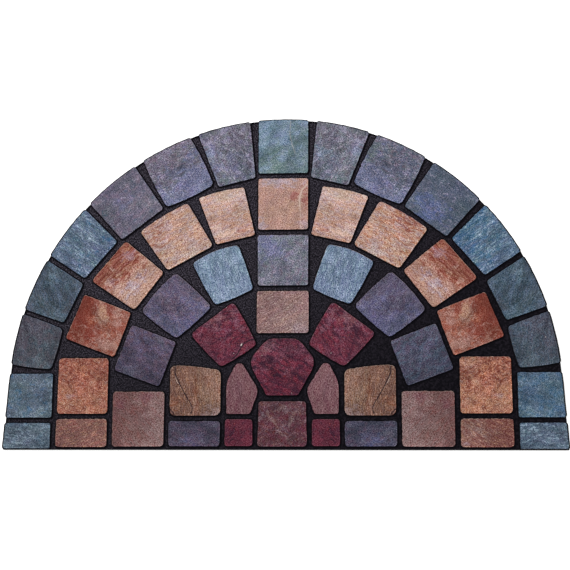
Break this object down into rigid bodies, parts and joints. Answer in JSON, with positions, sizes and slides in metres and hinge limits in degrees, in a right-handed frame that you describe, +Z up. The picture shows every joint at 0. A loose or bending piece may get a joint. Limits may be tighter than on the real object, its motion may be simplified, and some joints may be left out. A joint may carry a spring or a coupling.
{
  "type": "rubber doormat",
  "caption": "Half-round moulded rubber doormat whose upper face is a paving arch of raised stones with sunken dark joints.",
  "frame": {"origin": "middle of the bounding box's underside", "axes": "+X along the straight edge, +Y from the straight edge to the crown of the arch, +Z up"},
  "size_m": [0.9214, 0.559, 0.008],
  "materials": {
    "crumb_rubber": "matt moulded crumb rubber with a black fibre flock",
    "blue_slate_print": "short fibre face printed as blue and teal slate",
    "violet_slate_print": "short fibre face printed as violet and plum slate",
    "sandstone_print": "short fibre face printed as peach, rust, brown and rose sandstone",
    "marble_print": "short fibre face printed as burgundy marble"
  },
  "bodies": {
    "root": {"doormat": "crumb_rubber"}
  },
  "joints": []
}
